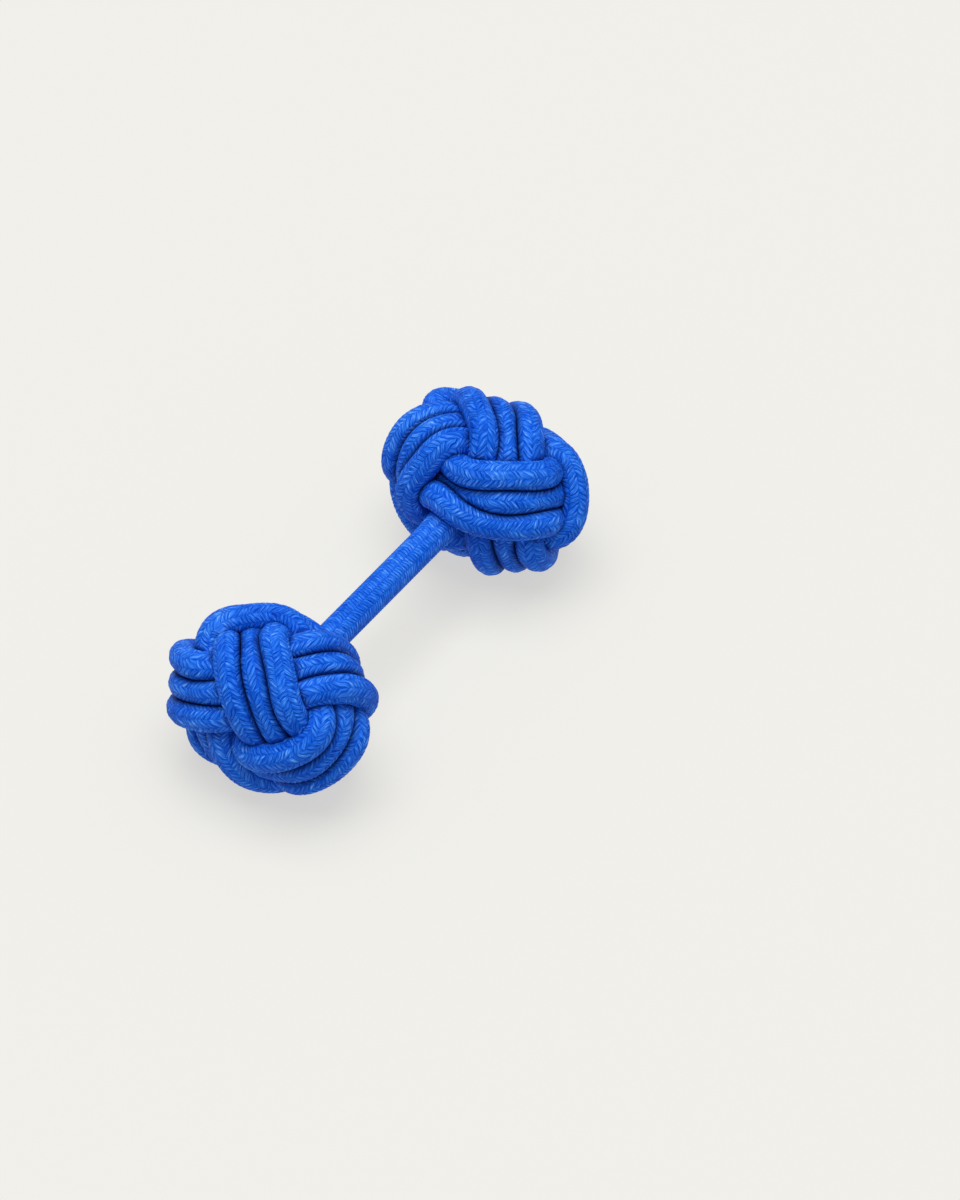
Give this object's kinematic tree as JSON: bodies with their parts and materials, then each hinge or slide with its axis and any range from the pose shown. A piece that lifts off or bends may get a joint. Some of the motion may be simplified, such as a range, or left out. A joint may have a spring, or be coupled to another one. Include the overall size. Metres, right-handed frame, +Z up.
{
  "type": "silk knot cuff button",
  "caption": "Cuff button of braided cord: a woven ball knot at each end of a short covered link that passes through a shirt cuff.",
  "frame": {"origin": "on the surface that the button lies on, under the middle of its bounding box", "axes": "+X along the link towards the far knot, +Y sideways, +Z up"},
  "size_m": [0.0292, 0.0124, 0.0104],
  "materials": {
    "knot_cord": "braided cobalt blue cord with a soft sheen",
    "link_cover": "finely ribbed cobalt blue covering"
  },
  "bodies": {
    "root": {"near_knot": "knot_cord", "far_knot": "knot_cord", "link": "link_cover"}
  },
  "joints": []
}
